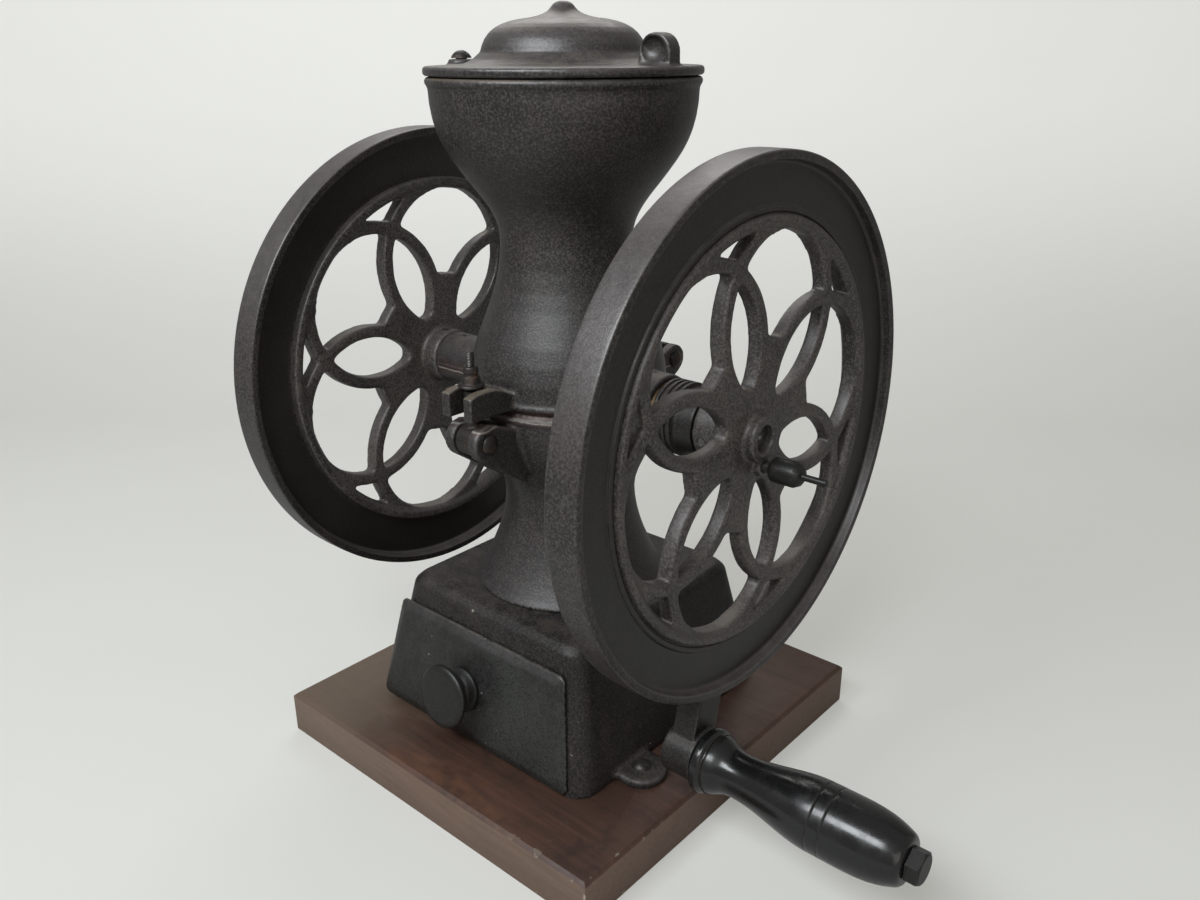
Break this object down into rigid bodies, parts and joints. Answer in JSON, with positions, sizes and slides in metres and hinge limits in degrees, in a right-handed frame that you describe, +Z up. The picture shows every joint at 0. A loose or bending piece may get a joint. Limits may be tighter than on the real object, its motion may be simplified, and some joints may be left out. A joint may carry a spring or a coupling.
{
  "type": "manual coffee grinder",
  "caption": "Hand-cranked counter coffee grinder: flywheels with petal spokes, iron hopper with a swing lid, burr chamber, drawer base, wooden board.",
  "frame": {"origin": "middle of the wooden board's underside, straight below the middle of the hopper", "axes": "+X along the axle towards the crank wheel, -Y towards the drawer front, +Z up"},
  "size_m": [0.3739, 0.273, 0.4204],
  "materials": {
    "board_wood": "worn reddish stain",
    "cast_iron": "aged brown-black, worn bright at the edges",
    "rusty_steel": "lightly rusted",
    "plain_steel": "oiled",
    "bronze": "dull",
    "burr_iron": "ground",
    "black_steel": "black, half gloss",
    "black_lacquer": "glossy black lacquer with brown wear",
    "tinplate": "dull grey tin"
  },
  "bodies": {
    "frame": {"base_board": "board_wood", "base_casting": "cast_iron", "base_screws": "rusty_steel", "column_bolts": "plain_steel", "lower_casting": "cast_iron", "upper_casting": "cast_iron", "rear_hinge_pin": "rusty_steel", "clamp_pin": "rusty_steel", "lid_pivot_screw": "rusty_steel", "left_bushing": "bronze", "right_bushing": "bronze", "fixed_burr": "burr_iron", "burr_screws": "plain_steel"},
    "rotor": {"main_shaft": "plain_steel", "left_flywheel": "cast_iron", "crank_wheel": "cast_iron", "wheel_pins": "plain_steel", "feed_pins": "plain_steel", "turning_burr": "burr_iron", "feed_worm": "burr_iron", "thrust_washer": "bronze", "crank_washer": "black_steel", "crank_bolt": "black_steel"},
    "grip": {"crank_grip": "black_lacquer"},
    "adjuster": {"adjusting_nut": "cast_iron"},
    "lock": {"lock_screw": "rusty_steel", "lock_knob": "black_steel"},
    "lid": {"lid": "cast_iron"},
    "drawer": {"drawer_box": "tinplate", "drawer_front": "cast_iron", "drawer_rivets": "plain_steel", "drawer_knob": "black_steel", "drawer_knob_screw": "plain_steel"},
    "clamp_bolt": {"swing_bolt": "rusty_steel"},
    "clamp_nut": {"clamp_nut": "rusty_steel"}
  },
  "joints": [
    {"name": "axle_spin", "type": "hinge", "parent": "frame", "child": "rotor", "pos_m": [0, 0, 0.22], "axis": [1, 0, 0], "continuous": true},
    {"name": "grip_spin", "type": "hinge", "parent": "rotor", "child": "grip", "pos_m": [0.1315, -0.04101, 0.05554], "axis": [1, 0, 0], "continuous": true},
    {"name": "adjuster_turn", "type": "hinge", "parent": "rotor", "child": "adjuster", "pos_m": [0.08, 0, 0.22], "axis": [1, 0, 0], "continuous": true},
    {"name": "lock_turn", "type": "hinge", "parent": "rotor", "child": "lock", "pos_m": [0.11, 0.00346, 0.20438], "axis": [1, 0, 0], "continuous": true},
    {"name": "lid_swing", "type": "hinge", "parent": "frame", "child": "lid", "pos_m": [-0.06016, -0.015, 0.386], "axis": [0, 0, 1], "range_deg": [-150, 150]},
    {"name": "drawer_slide", "type": "slide", "parent": "frame", "child": "drawer", "axis": [0, -1, 0], "range_m": [0, 0.11]},
    {"name": "clamp_swing", "type": "hinge", "parent": "frame", "child": "clamp_bolt", "pos_m": [0, -0.073, 0.209], "axis": [1, 0, 0], "range_deg": [0, 100]},
    {"name": "clamp_nut_spin", "type": "hinge", "parent": "clamp_bolt", "child": "clamp_nut", "pos_m": [0, -0.073, 0.24], "axis": [0, 0, 1], "continuous": true}
  ]
}
